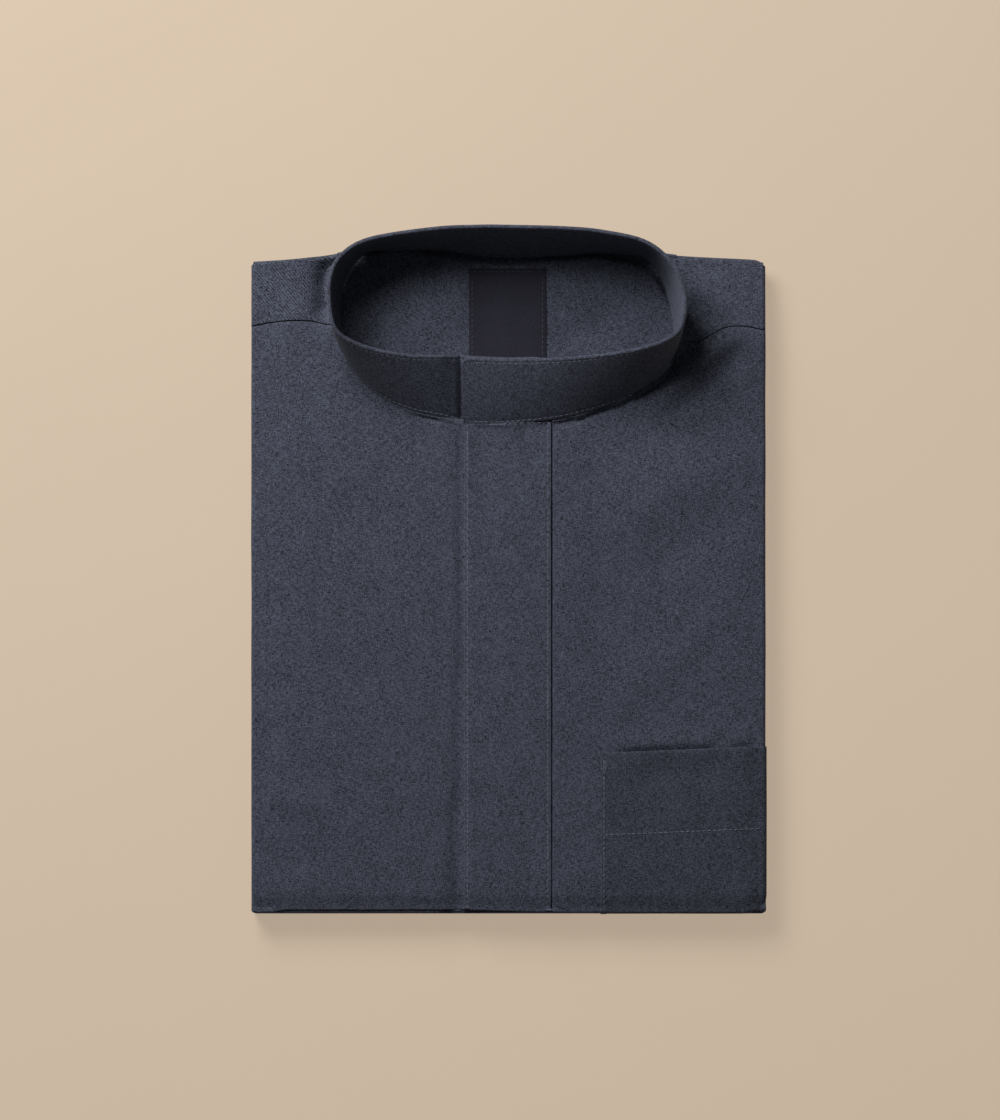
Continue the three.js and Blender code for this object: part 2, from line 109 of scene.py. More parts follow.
SIDE_FALL = dict(reach=22, drop=1.0)
FOOT_FALL = dict(reach=34, drop=0.8)
FOOT_ROLL = dict(reach=9, drop=1.5)
HEAD_FALL = dict(start=112, drop=4.3)
SEAM_REACH = 30  # how far the left front's rise to the placket reaches
BACK = dict(level=10.2, crown=2.3, half=80, turn_down=4.6, side_rise=4.5)

# Upper edges of the fronts, x then y: the shoulder seam, then the neck under the band
RIGHT_TOP = [
    (-129, 121.6), (-121, 123.3), (-107, 124.6), (-99, 124.3), (-92, 122.9), (-85.8, 122),
    (-84.2, 112), (-77, 98.5), (-64.5, 87), (-49.5, 80), (-34.5, 76.6), (-22, 75.6), (20, 74.4),
]
LEFT_TOP = [
    (15, 74.4), (20, 74.6), (35.5, 78), (55.5, 84.6), (73, 95), (82, 105), (84, 114.4),
    (94, 114.1), (98, 115.6), (101.5, 117.6), (106.5, 120.4), (111, 121.6), (115.5, 121.8),
    (129, 119.6),
]
HEAD_EDGE = [
    (-129, 154.4), (-112, 155.4), (-99, 156.8), (-90, 159), (-82, 161.6), (78, 160.4), (86, 158),
    (99, 156.6), (116, 155.8), (123, 155.4), (129, 152.6),
]
BACK_EDGE = [
    (-92, 157.6), (-80, 160), (-67, 162.6), (-34.5, 163), (-14.5, 160.4), (0, 159.4),
    (25, 160), (45, 161.4), (62, 160.6), (78, 158.6), (92, 156.8),
]
# where the back of the yoke turns down under the band
CREVICE = [
    (-92, 150), (-80, 155), (-57, 159.4), (-34.5, 156.6), (-14.5, 153.4), (0.5, 152),
    (25.5, 154), (40.5, 156), (55.5, 154), (70.5, 148), (79.5, 135), (92, 120),
]

# Creases: x and y of one end of the line, x and y of the other, half its width, its height (minus
# is a hollow), and how far the middle of the line bows to its left.
CHEST_CREASES = [
    # shoulders
    (-91.8, 160, -91.6, 122, 5.6, -8, 0.5),
    (-106, 160, -104, 118, 9, 0.9, 0),
    (-120, 156, -112, 124, 7, -0.5, 2),
    (-89.6, 168, -88.6, 112, 2.4, 1.8, -0.6),
    (94, 150, 110, 128, 7, 0.9, 1),
    (92, 136, 100, 120, 5, -1.2, 1),
    (118, 154, 124, 128, 6, 0.5, 0),
    (104, 158, 96, 140, 4, -0.6, 0),
    # round the neck
    (-86, 116, -58, 80, 3.2, 1.3, -2.5),
    (-98, 118, -70, 84, 6, -0.5, -3),
    (103, 118, 61, 85, 4.2, -5, -1.5),
    (118, 121, 70, 78, 5, 2.8, -1.5),
    (22, 72.6, 40, 76.4, 1.5, -1.3, 0),
    (32, 74.6, 58, 83.1, 1.5, -1.7, 0),
    (52, 80.4, 76, 94.4, 1.6, -2, 0),
    (-52, 77.6, -22, 73, 1.4, -1, 0),
    (124, 114, 84, 80, 5, -0.8, 0),
    (126, 104, 92, 72, 6, 0.5, 0),
    (48, 83, 72, 96, 3, -0.8, 0),
    (-40, 72, -14, 70, 6, 0.7, 0),
    # broad swells of the pressed chest
    (-112, 78, -72, 36, 16, 1.2, 0),
    (52, 26, 104, 56, 17, 1.3, 0),
    (26, 4, 124, 60, 10, 0.8, 3),
    (60, -4, 126, 34, 9, -0.8, 0),
    (40, -72, 120, -2, 9, 0.7, -5),
    (24, -40, 82, -12, 12, -0.35, 0),
    (-120, 10, -40, -14, 14, 0.35, 4),
    (-112, -66, -50, -44, 12, -0.35, 0),
    (-126, -112, -84, -122, 7, 0.9, 2),
    (-60, -140, -96, -150, 9, 0.35, 0),
    (-122, -140, -70, -152, 10, -0.8, 0),
    (40, -96, 44, -168, 9, 0.8, 0),
    (92, -118, 122, -156, 14, -0.5, 0),
    (58, -104, 84, -146, 12, -0.3, 0),
    # beside the placket's free edge
    (-24.4, 74, -24, 10, 2.6, -1, 0.4),
    (-24, 30, -24.4, -60, 2.4, -1.3, 0.5),
    (-24.6, -40, -24.2, -128, 3, -1.3, -0.5),
    (-24.8, -104, -25.4, -186, 4.2, -2.2, -0.5),
]
STITCH_LEFT = PLACKET_LEFT + 1.7
STITCH_RIGHT = PLACKET_RIGHT - 2.3
PLACKET_CREASES = [
    (STITCH_LEFT, 90, STITCH_LEFT, -200, 0.45, -0.22, 0),
    (STITCH_RIGHT, 90, STITCH_RIGHT, -200, 0.5, -0.26, 0),
    (-20, 72, -21.2, 38, 2.4, 0.8, 0),
    (-12, 74, 8, 70, 6, 0.9, 0),
    (-1, 60, -2, -120, 13, 0.5, 0),
    (-17, 26, 14, 16, 5, 0.16, 0),
    (-16, -14, 12, -24, 6, -0.14, 0),
    (-14, -64, 16, -58, 5, 0.14, 0),
    (-18, -96, 10, -104, 6, 0.18, 0),
    (8, -90, 14, -158, 6, -0.3, 0),
    (-14, -138, 16, -146, 7, -0.25, 0),
]
POCKET_CREASES = [
    (56, -92, 70, -100, 5, 0.3, 0),
    (66, -102, 108, -100, 6, -0.35, 0),
    (104, -112, 122, -92, 6, 0.3, 0),
    (50, -120, 118, -124, 6, 0.25, 1),
    (54, -150, 92, -142, 8, 0.3, 0),
    (96, -140, 122, -160, 8, -0.4, 0),
]
BACK_CREASES = [
    (-70, 96, -14, 146, 11, 1.5, 2),
    (-52, 88, -18, 108, 8, -0.8, 0),
    (-80, 116, -50, 146, 9, -0.8, 0),
    (-12, 96, -18, 148, 6, -0.5, 0),
    (12, 142, 50, 134, 8, 0.9, 2),
    (20, 112, 52, 122, 8, -1.3, 1),
    (50, 104, 74, 128, 9, 0.7, 0),
    (56, 150, 76, 128, 6, -0.7, 0),
]

# The band, from its under end round the neck to its over end; inset is how far that part lies
# inside the over end.
BAND = [
    # seam x, seam y, seam z, rim x, rim y, inset
    (18, 73.7, 19, 16, 104, 3), (0, 72, 19, -2, 104, 3.3),
    (-22, 72.4, 19, -22.5, 105, 3.4), (-34.5, 76.4, 18.8, -36, 106.2, 0.6),
    (-49.5, 80, 18.6, -52, 107, 0), (-64.5, 87, 18.3, -69.5, 110, 0),
    (-77, 98.5, 18.1, -82, 115, 0), (-84.2, 112, 18, -88.2, 121.6, 0),
    (-85.8, 126, 17.6, -90.4, 134, 0), (-84.8, 141, 16.6, -89.6, 146.6, 0),
    (-79.6, 153, 14.8, -84, 157.4, 0), (-67, 162, 13.4, -69.5, 165.6, 0),
    (-34.5, 162.4, 13.8, -37, 171, 0), (-14.5, 160, 13.8, -16, 172, 0),
    (0.5, 158.8, 13.8, 0, 172, 0), (25.5, 159.6, 13.8, 26, 171.4, 0),
    (45, 161.2, 13.6, 47, 169.4, 0), (66, 159, 13.6, 68.6, 164, 0),
    (76.4, 149, 15, 82.4, 152.4, 0), (81.6, 135, 16.6, 88.2, 138.6, 0),
    (84, 119, 17.4, 88, 125.6, 0), (82, 106, 17.8, 83.4, 117, 0),
    (73, 95, 18.2, 70, 111, 0), (55.5, 84.6, 18.8, 52, 107.4, 0),
    (35.5, 78, 19.4, 32, 105.6, 0), (18, 74.6, 19.6, 16, 105, 0),
    (-4.5, 72.6, 19.6, -6, 105, 0), (-22.8, 73, 19.6, -23, 106, 0),
]
BAND_CLOTH = 2.0  # the band is interlined
BAND_TALL = 36.5
RIM_STITCH, SEAM_STITCH = 0.94, 0.045  # lines of stitching, as shares of its height
UNDER_DIP = dict(x=-24.1, half=0.9, depth=1.8)  # the under end sinks beside the over end
BAND_CORNER = 2.6  # rounded corners of its ends
END_BULGE = 0.3  # its ends bulge by this share of a column


# ---- curves and the height field
def ease(t):
    u = np.clip(t, 0.0, 1.0)
    return u * u * (3.0 - 2.0 * u)


def smooth_table(rows):
    """A function of x through a table's rows, with no overshoot between them."""
    xs, ys = np.array(rows, float).T
    slopes = np.diff(ys) / np.diff(xs)
    tangents = np.concatenate(([slopes[0]], np.zeros(len(xs) - 2), [slopes[-1]]))
    both = slopes[:-1] * slopes[1:] > 0
    tangents[1:-1][both] = (2 * slopes[:-1] * slopes[1:] / (slopes[:-1] + slopes[1:]))[both]

    def value(x):
        x = np.clip(np.asarray(x, float), xs[0], xs[-1])
        i = np.clip(np.searchsorted(xs, x, side="right") - 1, 0, len(xs) - 2)
        span = xs[i + 1] - xs[i]
        t = (x - xs[i]) / span
        a = ys[i] * (1 + 2 * t) * (1 - t) ** 2 + span * tangents[i] * t * (1 - t) ** 2
        return a + ys[i + 1] * t * t * (3 - 2 * t) + span * tangents[i + 1] * t * t * (t - 1)

    return value


right_top = smooth_table(RIGHT_TOP)
left_top = smooth_table(LEFT_TOP)
head_edge = smooth_table(HEAD_EDGE)
back_edge = smooth_table(BACK_EDGE)
crevice = smooth_table(CREVICE)


def creases(rows, x, y):
    """Soft troughs and ridges, each tapering off at both of its ends."""
    total = np.zeros(np.broadcast(x, y).shape)
    for x1, y1, x2, y2, width, height, bow in rows:
        dx, dy = x2 - x1, y2 - y1
        length = math.hypot(dx, dy)
        t = ((x - x1) * dx + (y - y1) * dy) / length ** 2
        middle = 1 - (2 * t - 1) ** 2
        across = ((y - y1) * dx - (x - x1) * dy) / length - bow * middle
        taper = ease(t / 0.3 + 0.15) * ease((1 - t) / 0.3 + 0.15)
        total = total + height * taper * np.exp(-(across / width) ** 2)
    return total


def ripple(x, y, size, seed, stretch=1.0):
    """Smooth uneven noise about 1 high, one value a point."""
    x, y = np.broadcast_arrays(x, y)
    values = [noise.noise(Vector((a / (size * stretch), b / size, seed)))
              for a, b in zip(x.ravel().tolist(), y.ravel().tolist())]
    return np.array(values).reshape(x.shape)


def mouth(x):
    """The pocket's mouth, y at x."""
    t = (x - POCKET_LEFT) / (HALF - POCKET_LEFT)
    return POCKET_TOP - POCKET_RISE + t * POCKET_RISE


def gape(x):
    """How far the pocket's mouth stands open: two stretches, with a closed one between."""
    wide = ease((x - 50) / 12) * ease((105 - x) / 6)
    narrow = ease((x - 109) / 4) * ease((124 - x) / 5)
    return np.maximum(wide, 0.8 * narrow)


def foot_edge(x):
    """Where the chest's foot fold ends, in y."""
    t = ease((np.asarray(x, float) + 30) / 60)
    edge = FOOT_EDGE_RIGHT + (FOOT_EDGE_LEFT - FOOT_EDGE_RIGHT) * t
    return edge + 1.1 * ease((x - 117) / 8) - 1.2 * ease((-112 - x) / 8)


SEAM_POINTS = np.array([row[:3] for row in BAND[2:]], float)
SEAM_LINE = np.concatenate([
    SEAM_POINTS[:-1] + (SEAM_POINTS[1:] - SEAM_POINTS[:-1]) * t for t in np.arange(0, 1, 0.125)
])


# The band lifts the cloth it is sewn to: only within x and behind y, to a little above its foot
# (up to the highest), level as far as flat and then falling away
HELD = dict(x=100, y=60, highest=18.4, above=0.3, flat=0.8, slope=2.0)
HELD_SHARE = 0.98
FAR_BELOW = -50.0


def held_by_band(x, y):
    """Height the chest is held up to beside the band's seam; it falls steeply away."""
    x, y = np.broadcast_arrays(x, y)
    level = np.full(x.shape, FAR_BELOW)
    near = (np.abs(x) < HELD["x"]) & (y > HELD["y"])
    dx = x[near][:, None] - SEAM_LINE[None, :, 0]
    dy = y[near][:, None] - SEAM_LINE[None, :, 1]
    apart = np.hypot(dx, dy)
    nearest = np.argmin(apart, axis=1)
    gap = apart[np.arange(len(nearest)), nearest]
    foot = np.minimum(SEAM_LINE[nearest, 2], HELD["highest"]) + HELD["above"]
    level[near] = foot - HELD["slope"] * np.maximum(gap - HELD["flat"], 0)
    return level


def fall(distance, reach, drop):
    """How far the face has fallen at this distance from the edge it falls to."""
    return ease(1 - distance / reach) ** 2 * drop


def chest(x, y, under_pocket=True):
    """Height of the chest's outer face."""
    x, y = np.asarray(x, float), np.asarray(y, float)
    from_foot = y - foot_edge(x)
    z = CHEST - fall(HALF - SIDE_RADIUS - np.abs(x), **SIDE_FALL) - fall(from_foot, **FOOT_FALL)
    z = z - ease(1 - from_foot / FOOT_ROLL["reach"]) * FOOT_ROLL["drop"]
    z = z - ease((y - HEAD_FALL["start"]) / (HEAD - HEAD_FALL["start"])) * HEAD_FALL["drop"]
    z = z + creases(CHEST_CREASES, x, y)
    held = held_by_band(x, y)
    z = np.where(held > z, (1 - HELD_SHARE) * z + HELD_SHARE * held, z)
    if under_pocket:
        past = y - mouth(x)
        z = z - 1.5 * gape(x) * np.exp(-((past + 0.4) / 1.7) ** 2)
        z = z + 0.5 * gape(x) * np.exp(-((past - 5) / 4) ** 2)
    return z


def chest_noise(x, y):
    """Small uneven waves left by pressing."""
    return 0.16 * ripple(x, y, 34, 1.0, 1.6) + 0.045 * ripple(x, y, 9, 7.0, 2.4)


def no_lift(x, y):
    return 0.0


def seam_lift(x, y):
    """The left front rises to meet the placket, all along it."""
    return LIFT * ease(1 - (x - PLACKET_RIGHT) / SEAM_REACH)


def back_height(x, y):
    """Inner face of the back yoke, seen in the neck."""
    across = np.minimum(1, np.abs(x) / BACK["half"])
    z = BACK["level"] + BACK["crown"] * np.cos(across * math.pi / 2) ** 2
    z = z - BACK["turn_down"] * ease((y - crevice(x) + 0.3) / 3.6)
    z = z + BACK["side_rise"] * ease((-68 - x) / 16)
    return z + ease((75 - np.abs(x)) / 20) * creases(BACK_CREASES, x, y)


# ---- meshes
def grid_normals(points, around):
    """Unit normals of a grid of points; around closes its columns into a loop."""
    if around:
        across = np.roll(points, -1, 1) - np.roll(points, 1, 1)
    else:
        across = np.gradient(points, axis=1)
    up = np.gradient(points, axis=0)
    normals = np.cross(across, up)
    length = np.linalg.norm(normals, axis=2, keepdims=True)
    return normals / np.maximum(length, 1e-9)


def grid_corners(rows, columns, around):
    """Indices of the four corners of each quad of a grid."""
    i, j = np.meshgrid(np.arange(rows - 1), np.arange(columns if around else columns - 1),
                       indexing="ij")
    a, b = i * columns + j, i * columns + (j + 1) % columns
    return a, b, b + columns, a + columns


def placed(name, data):
    obj = bpy.data.objects.new(name, data)
    bpy.context.scene.collection.objects.link(obj)
    return obj


def make_object(name, vertices, faces, uv=None):
    mesh = bpy.data.meshes.new(name)
    mesh.from_pydata((np.asarray(vertices) * MM).tolist(), [], faces)
    mesh.update()
    if uv is not None:
        layer = mesh.uv_layers.new(name="weave")
        index = np.empty(len(mesh.loops), dtype=np.int32)
        mesh.loops.foreach_get("vertex_index", index)
        layer.data.foreach_set("uv", (np.asarray(uv) * MM)[index].astype(np.float32).ravel())
    mesh.polygons.foreach_set("use_smooth", [True] * len(mesh.polygons))
    mesh.set_sharp_from_angle(angle=math.radians(50))
    return placed(name, mesh)


def shell(name, points, uv, thickness=CLOTH, around=False, turn=0):
    """A closed wall of cloth under a grid of its outer points (rows, columns, xyz)."""
    cos, sin = math.cos(math.radians(turn)), math.sin(math.radians(turn))
    uv = uv @ np.array([[cos, sin], [-sin, cos]])
    rows, columns = points.shape[:2]
    inner = points - grid_normals(points, around) * thickness
    vertices = np.concatenate([points.reshape(-1, 3), inner.reshape(-1, 3)])
    coords = np.concatenate([uv.reshape(-1, 2), uv.reshape(-1, 2)])
    far = rows * columns
    a, b, c, d = grid_corners(rows, columns, around)
    quads = [np.stack([a, b, c, d], -1).reshape(-1, 4),
             np.stack([far + a, far + d, far + c, far + b], -1).reshape(-1, 4)]
    row = np.arange(columns if around else columns - 1)
    low_a, low_b = row, (row + 1) % columns
    top_a, top_b = low_a + (rows - 1) * columns, low_b + (rows - 1) * columns
    quads.append(np.stack([low_a, far + low_a, far + low_b, low_b], -1))
    quads.append(np.stack([top_a, top_b, far + top_b, far + top_a], -1))
    if not around:
        side = np.arange(rows - 1) * columns
        quads.append(np.stack([side, side + columns, far + side + columns, far + side], -1))
        side = side + columns - 1
        quads.append(np.stack([side, far + side, far + side + columns, side + columns], -1))
    return make_object(name, vertices, np.concatenate(quads).tolist(), coords)


def walked_along(points):
    """The distance along a line of points, at each of them."""
    return np.append(0, np.cumsum(np.linalg.norm(np.diff(points, axis=0), axis=1)))


def spaced(start, end, step):
    return np.linspace(start, end, max(2, int(round(abs(end - start) / step)) + 1))


def turned(edge, inwards):
    """Columns round a turned edge, from the end tucked under it up to its face."""
    angles = np.radians(np.arange(180, -1, -22.5))
    x = edge + inwards * EDGE * (1 - np.sin(angles))
    depth = EDGE * (1 - np.cos(angles))
    return np.append(edge + inwards * (EDGE + TUCK), x), np.append(2 * EDGE, depth)


def flat(x):
    """Columns on the face itself."""
    return x, np.zeros(len(x))


def side_fold(edge, radius, wrap, tuck):
    """Columns round a side fold, from the chest's face down and back under it."""
    sign = math.copysign(1.0, edge)
    angles = np.radians(np.linspace(0, wrap, 13))
    bend = edge - sign * radius
    x = bend + sign * radius * np.sin(angles)
    depth = radius * (1 - np.cos(angles))
    inward = spaced(0, tuck, 2.0)[1:]
    return np.append(x, bend - sign * inward), np.append(depth, np.full(len(inward), depth[-1]))


def section_of(parts):
    """Joins runs of (x, depth) into one section, with the cloth's own width along it."""
    x = np.concatenate([p[0] for p in parts])
    depth = np.concatenate([p[1] for p in parts])
    along = np.append(0, np.cumsum(np.hypot(np.diff(x), np.diff(depth))))
    middle = np.argmin(np.abs(x))
    return x, depth, along - along[middle] + x[middle]


def foot_rows(over, foot, reach, radius, height, tucks):
    """Rows from under the chest and round its foot fold; tucks are how far under each lies.
    Each row is y, z, the outward normal and the length of cloth."""
    bend_y = foot + reach
    centre = height(over, bend_y) - radius
    rows = [(bend_y + tuck, centre - radius, 0.0, -1.0, -tuck - math.pi * radius)
            for tuck in tucks]
    for angle in np.linspace(math.pi, 0, 17)[:-1]:
        out, up = -math.sin(angle), math.cos(angle)
        rows.append((bend_y + reach * out, centre + radius * up, out, up, -angle * radius))
    return rows, bend_y


def front_stations(over, top, lift, end_drop=1.4):
    """Rows up a front: round the foot fold, up the chest and down into the seam at its top."""
    def height(x, y):
        return chest(x, y) + lift(x, y)

    rows, bend_y = foot_rows(over, foot_edge(over), FOOT_REACH, FOOT_RADIUS, height,
                             (22, 16, 10, 5))
    for v in spaced(0, 1, STEP * 1.1 / float(np.max(top - bend_y))):
        y = bend_y + v * (top - EDGE - bend_y)
        rows.append((y, height(over, y), 0.0, 1.0, y - bend_y))
    for angle in np.radians((22.5, 45, 67.5, 90)):
        y = top - EDGE + EDGE * math.sin(angle)
        rows.append((y, height(over, y) - EDGE * (1 - math.cos(angle)), 0.0, 1.0, y - bend_y))
    rows.append((top, height(over, top) - EDGE - end_drop, 0.0, 1.0, top - bend_y + end_drop))
    return rows


def sweep(section, stations, pressed=True, corner=None):
    """Points and weave coordinates of a section carried along its stations, waved by pressing.
    The section flattens towards the corner, where it starts at y = corner."""
    x, whole, along = section
    points = np.empty((len(stations), len(x), 3))
    uv = np.empty((len(stations), len(x), 2))
    for i, (y, z, ny, nz, length) in enumerate(stations):
        depth, narrow = whole, ROUND_NARROW * abs(ny) * (whole > 0.3)
        if corner is not None:
            beyond = max(0.0, float(np.min(y)) - corner) if nz > 0.99 else 0.0
            depth = np.minimum(whole, CORNER_DEPTH + 0.7 * beyond)
            narrow = ROUND_NARROW * (1 - ease(beyond / 6))
        points[i, :, 0] = x * (1 - narrow)
        points[i, :, 1] = y - depth * ny
        points[i, :, 2] = z - depth * nz
        uv[i, :, 0] = along
        uv[i, :, 1] = length
    if pressed:
        waves = chest_noise(points[..., 0], points[..., 1])
        points = points + grid_normals(points, False) * waves[..., None]
    return points, uv


# ---- pieces of the chest
def front(name, edge, start, start_turned, top, lift):
    """One front, from its middle edge to the side fold it goes round."""
    fold = side_fold(edge, SIDE_RADIUS, 180, 9)
    sign = math.copysign(1.0, edge)
    bend = edge - sign * SIDE_RADIUS
    if start_turned:
        middle = flat(spaced(start + sign * EDGE, bend, STEP)[1:-1])
        parts = [turned(start, sign), middle, fold]
    else:
        parts = [flat(spaced(start, bend, STEP)[:-1]), fold]
    x, depth, along = section_of(parts)
    if sign < 0:
        x, depth, along = x[::-1], depth[::-1], along[::-1]
        along = -along + 2 * x[np.argmin(np.abs(x))]
    over = np.clip(x, -abs(bend), abs(bend))
    points, uv = sweep((x, depth, along), front_stations(over, top(over), lift),
                       corner=float(np.max(foot_edge(over))) + FOOT_REACH)
    points[-3:, :, 0] = np.clip(points[-3:, :, 0], 1.2 - HALF, HALF - 1.2)
    return shell(name, points, uv)


front_right = front("front_right_cloth", -HALF, PLACKET_RIGHT - 6, False, right_top, no_lift)
front_left = front("front_left_cloth", LEFT_SIDE, PLACKET_RIGHT + SEAM_GAP, True, left_top,
                   seam_lift)


def placket_lift(x, y):
    return LIFT + creases(PLACKET_CREASES, x, y)


def placket_face(x, y):
    return chest(x, y) + placket_lift(x, y)


def placket():
    """Double strip down the right front, both of its edges turned under."""
    left = turned(PLACKET_LEFT, 1.0)
    right = turned(PLACKET_RIGHT - SEAM_GAP, -1.0)
    ends = PLACKET_LEFT + EDGE, PLACKET_RIGHT - SEAM_GAP - EDGE
    middle = np.concatenate([
        spaced(ends[0], ends[0] + 3, 0.3)[1:-1],
        spaced(ends[0] + 3, ends[1] - 3.6, 1.1),
        spaced(ends[1] - 3.6, ends[1], 0.3)[1:-1],
    ])
    x, depth, along = section_of([left, flat(middle), (right[0][::-1], right[1][::-1])])
    top = np.where(x < 15, right_top(x), left_top(x)) - 0.6
    points, uv = sweep((x, depth, along), front_stations(x, top, placket_lift, 0.4))
    return shell("placket_cloth", points, uv)


placket_cloth = placket()


def pocket_lift(x, y):
    """The pocket over the front: it stands off at its mouth where that gapes."""
    near = np.exp(-((y - mouth(x)) / 7.0) ** 2)
    at_side = ease((x - 118) / 9)
    level = LIFT - 0.6 * at_side + 0.7 * gape(x) * near
    return seam_lift(x, y) + level + creases(POCKET_CREASES, x, y)


def pocket_face(x, y):
    return chest(x, y, False) + pocket_lift(x, y)


def pocket_rows(over):
    """Rows up the pocket, ending round its turned mouth and tucked inside."""
    wider = LIFT * 0.6
    rows, bend_y = foot_rows(over, foot_edge(over) - wider, FOOT_REACH + wider,
                             FOOT_RADIUS + LIFT, pocket_face, (16, 10, 5))
    top = mouth(over)
    for v in spaced(0, 1, 1.1 / float(np.max(top - bend_y))):
        y = bend_y + v * (top - EDGE - bend_y)
        rows.append((y, pocket_face(over, y), 0.0, 1.0, y - bend_y))
    level = pocket_face(over, top - EDGE)
    for angle in np.radians((30, 60, 90, 120, 150, 180)):
        y = top - EDGE + EDGE * math.sin(angle)
        rows.append((y, level - EDGE * (1 - math.cos(angle)), 0.0, 1.0,
                     top - EDGE - bend_y + EDGE * angle))
    rows.append((top - EDGE - 3, level - 2 * EDGE, 0.0, 1.0, top - bend_y + 6))
    return rows


def pocket():
    left = turned(POCKET_LEFT, 1.0)
    bend = HALF - SIDE_RADIUS - 0.6
    fold = side_fold(HALF, SIDE_RADIUS + 0.6, 150, 0.0)
    middle = flat(spaced(POCKET_LEFT + EDGE, bend, 1.1)[1:-1])
    x, depth, along = section_of([left, middle, fold])
    over = np.clip(x, None, bend)
    points, uv = sweep((x, depth, along), pocket_rows(over),
                       corner=float(np.max(foot_edge(over))) + FOOT_REACH)
    points[-5:, :, 0] = np.minimum(points[-5:, :, 0], HALF - 2.2)
    return shell("pocket_cloth", points, uv)


pocket_cloth = pocket()


def shoulder(name, sign, edge, neck, seam):
    """The yoke over one shoulder: from its seam, round the head fold and back under."""
    face = flat(spaced(neck, edge - sign * SIDE_RADIUS, 1.0)[:-1])
    x, depth, along = section_of([face, side_fold(edge, SIDE_RADIUS, 95, 0.0)])
    if sign < 0:
        x, depth, along = x[::-1], depth[::-1], along[::-1]
    over = np.clip(x, -HALF + SIDE_RADIUS, LEFT_SIDE - SIDE_RADIUS)
    seam_x = sign * np.maximum(sign * over, 84.0 if sign > 0 else 85.8)
    start = seam(seam_x) + 0.35
    bend_y = head_edge(over) - HEAD_RADIUS
    rows = [(start, chest(over, start) - EDGE - 1.4, 0.0, 1.0, start - 1.4)]
    for angle in np.radians((90, 67.5, 45, 22.5)):
        y = start + EDGE * (1 - math.sin(angle))
        rows.append((y, chest(over, y) - EDGE * (1 - math.cos(angle)), 0.0, 1.0, y))
    for v in spaced(0, 1, 1.0 / 34):
        y = start + EDGE + v * (bend_y - start - EDGE)
        rows.append((y, chest(over, y), 0.0, 1.0, y))
    centre = chest(over, bend_y) - HEAD_RADIUS
    for angle in np.radians(np.linspace(0, 180, 15)[1:]):
        out, up = math.sin(angle), math.cos(angle)
        rows.append((bend_y + HEAD_RADIUS * out, centre + HEAD_RADIUS * up, out, up,
                     bend_y + HEAD_RADIUS * angle))
    for back in (4, 9, 14):
        rows.append((bend_y - back, centre - HEAD_RADIUS, 0.0, -1.0,
                     bend_y + HEAD_RADIUS * math.pi + back))
    points, uv = sweep((x, depth, along), rows)
    points[:2, :, 0] = np.clip(points[:2, :, 0], 1.2 - HALF, HALF - 1.2)
    inner_corner = ease((points[..., 1] - 144) / 14) * np.clip((100 - sign * x) / 16, 0, 1)
    points[..., 0] -= sign * 10 * inner_corner
    return shell(name, points, uv, turn=-50 if sign < 0 else 0)


shoulder_right = shoulder("shoulder_right_cloth", -1, -HALF, -84.6, right_top)
shoulder_left = shoulder("shoulder_left_cloth", 1, LEFT_SIDE, 83.0, left_top)


# The back of the yoke behind the neck: y from its fold, then z
YOKE_BEHIND_BAND = [
    (-2.2, 12.4), (-1.2, 13.6), (-0.4, 13.4), (0.0, 12.0), (0.2, 9.0), (0.2, 6.0), (-0.6, 4.4),
    (-6.0, 4.2), (-12.0, 4.2),
]


def yoke_waves(x, y):
    return 0.12 * ripple(x, y, 14, 3.0)


def back_yoke():
    """The back of the yoke under the neck, folded at the band's seam."""
    xs = spaced(-86, 84, 1.3)
    low = np.where(xs < 15, right_top(xs), left_top(xs)) - 7
    high = back_edge(xs)
    rows = []
    for v in spaced(0, 1, 1 / 70):
        y = low + v * (high - 2.8 - low)
        rows.append((y, back_height(xs, y), 0.0, 1.0, y))
    corner_rise = 1.6 * ease((-60 - xs) / 12)
    for step, z in YOKE_BEHIND_BAND:
        rows.append((high + step, z + corner_rise * (z > 9), 0.0, 1.0, rows[-1][4] + 2.5))
    points, uv = sweep((*flat(xs), xs), rows, False)
    points[..., 2] += yoke_waves(points[..., 0], points[..., 1])
    return shell("back_yoke_cloth", points, uv)


back_yoke_cloth = back_yoke()


# ---- the standing band
def spline(values, t):
    """Catmull-Rom through evenly spaced values; t runs from 0 to 1."""
    values = np.asarray(values, float)
    spot = np.clip(t, 0, 1) * (len(values) - 1)
    i = np.minimum(spot.astype(int), len(values) - 2)
    f = (spot - i)[:, None] if values.ndim > 1 else spot - i
    first, last = 2 * values[0] - values[1], 2 * values[-1] - values[-2]
    padded = np.concatenate([[first], values, [last]])
    p0, p1, p2, p3 = (padded[i + k] for k in range(4))
    return 0.5 * (2 * p1 + (p2 - p0) * f + (2 * p0 - 5 * p1 + 4 * p2 - p3) * f ** 2
                  + (3 * p1 - p0 - 3 * p2 + p3) * f ** 3)


